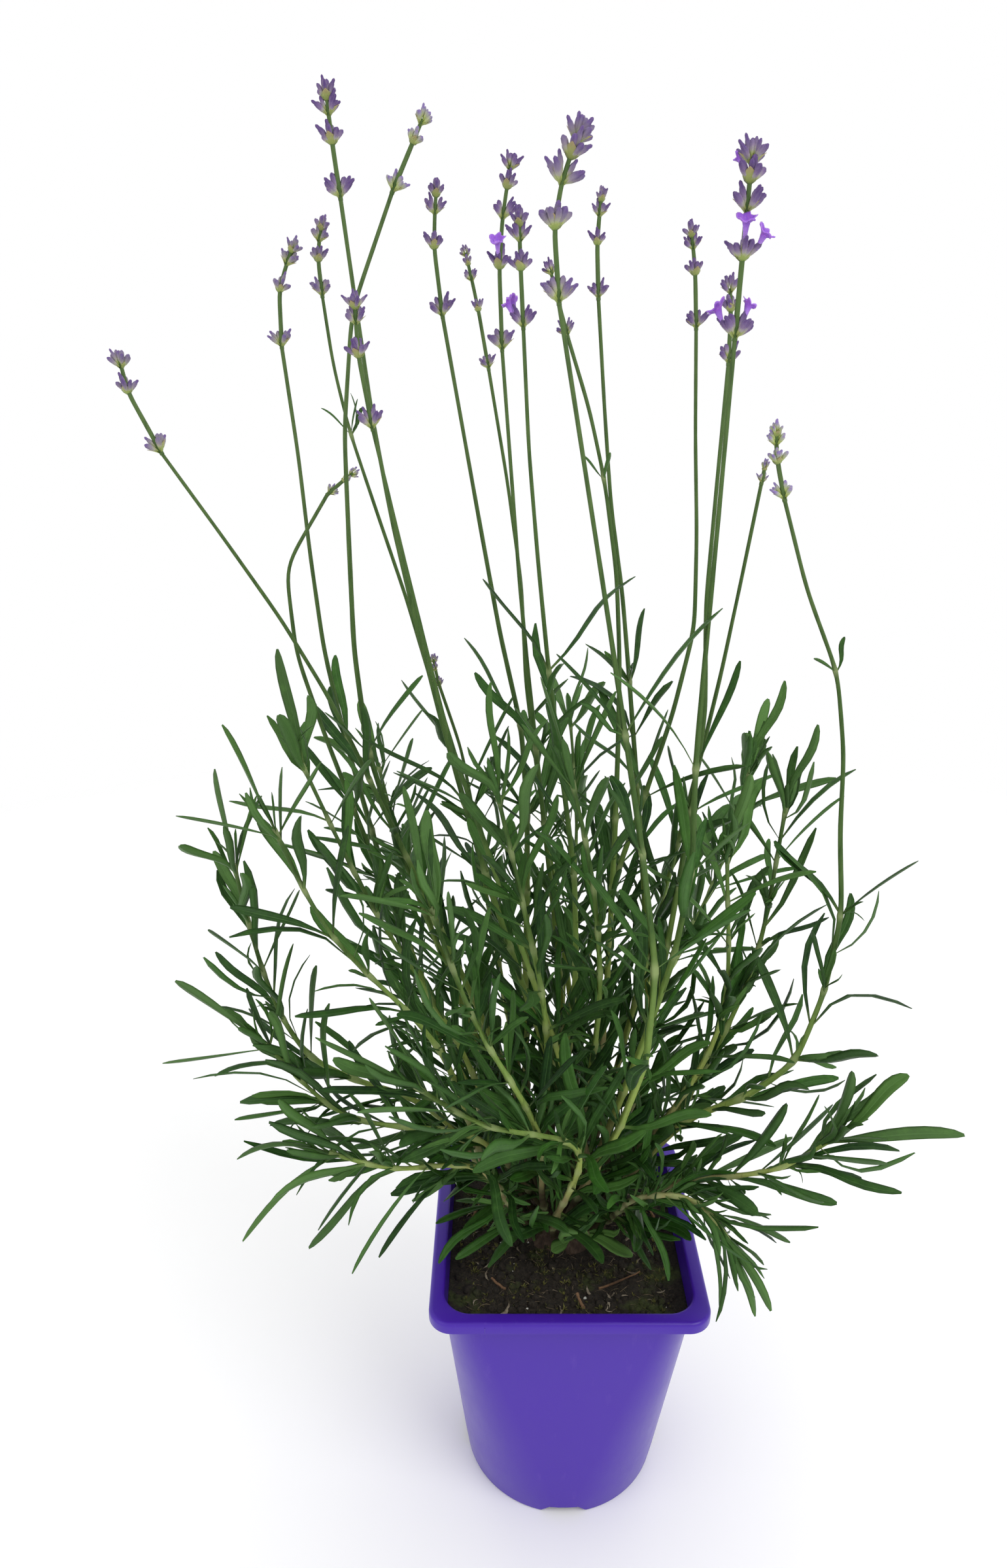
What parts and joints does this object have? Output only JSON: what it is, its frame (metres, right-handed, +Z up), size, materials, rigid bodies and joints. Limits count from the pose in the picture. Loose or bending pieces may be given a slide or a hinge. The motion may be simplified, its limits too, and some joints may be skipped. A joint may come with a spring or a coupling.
{
  "type": "potted lavender",
  "caption": "Flowering lavender plant in a square, tapered plastic nursery pot: slender stalks with whorled purple spikes over a mound of narrow leaves.",
  "frame": {"origin": "middle of the pot's underside, where it rests on the ground", "axes": "+Z up along the pot's axis, -Y towards the front, +X to the right seen from the front"},
  "size_m": [0.3545, 0.265, 0.644],
  "materials": {
    "pot_plastic": "moulded violet plastic, satin to semi-gloss",
    "soil": "damp dark potting soil with crumbs, moss and white grains",
    "wood": "rough grey-brown bark",
    "stalk": "matt green square stems, yellow-green low down, brown at the foot",
    "leaf": "matt grey-green to deep green narrow leaves with a midrib",
    "flower": "ribbed grey-violet calyces with pale green bases, some open violet corollas"
  },
  "bodies": {
    "root": {"pot": "pot_plastic", "potting_soil": "soil", "woody_crown": "wood", "flower_stalk_01": "stalk", "flower_stalk_02": "stalk", "flower_stalk_03": "stalk", "flower_stalk_04": "stalk", "flower_stalk_05": "stalk", "flower_stalk_06": "stalk", "flower_stalk_07": "stalk", "flower_stalk_08": "stalk", "flower_stalk_09": "stalk", "flower_stalk_10": "stalk", "flower_stalk_11": "stalk", "flower_stalk_12": "stalk", "flower_stalk_13": "stalk", "flower_stalk_14": "stalk", "flower_stalk_15": "stalk", "flower_stalk_16": "stalk", "flower_stalk_17": "stalk", "flower_stalk_18": "stalk", "flower_stalk_19": "stalk", "flower_stalk_20": "stalk", "flower_head_01": "flower", "flower_head_02": "flower", "flower_head_03": "flower", "flower_head_04": "flower", "flower_head_05": "flower", "flower_head_06": "flower", "flower_head_07": "flower", "flower_head_08": "flower", "flower_head_09": "flower", "flower_head_10": "flower", "flower_head_11": "flower", "flower_head_12": "flower", "flower_head_13": "flower", "flower_head_14": "flower", "flower_head_15": "flower", "flower_head_16": "flower", "flower_head_17": "flower", "flower_head_18": "flower", "flower_head_19": "flower", "flower_head_20": "flower", "leafy_shoot_01": "leaf", "leafy_shoot_02": "leaf", "leafy_shoot_03": "leaf", "leafy_shoot_04": "leaf", "leafy_shoot_05": "leaf", "leafy_shoot_06": "leaf", "leafy_shoot_07": "leaf", "leafy_shoot_08": "leaf", "leafy_shoot_09": "leaf", "leafy_shoot_10": "leaf", "leafy_shoot_11": "leaf", "leafy_shoot_12": "leaf", "leafy_shoot_13": "leaf", "leafy_shoot_14": "leaf", "leafy_shoot_15": "leaf", "leafy_shoot_16": "leaf", "leafy_shoot_17": "leaf"}
  },
  "joints": []
}
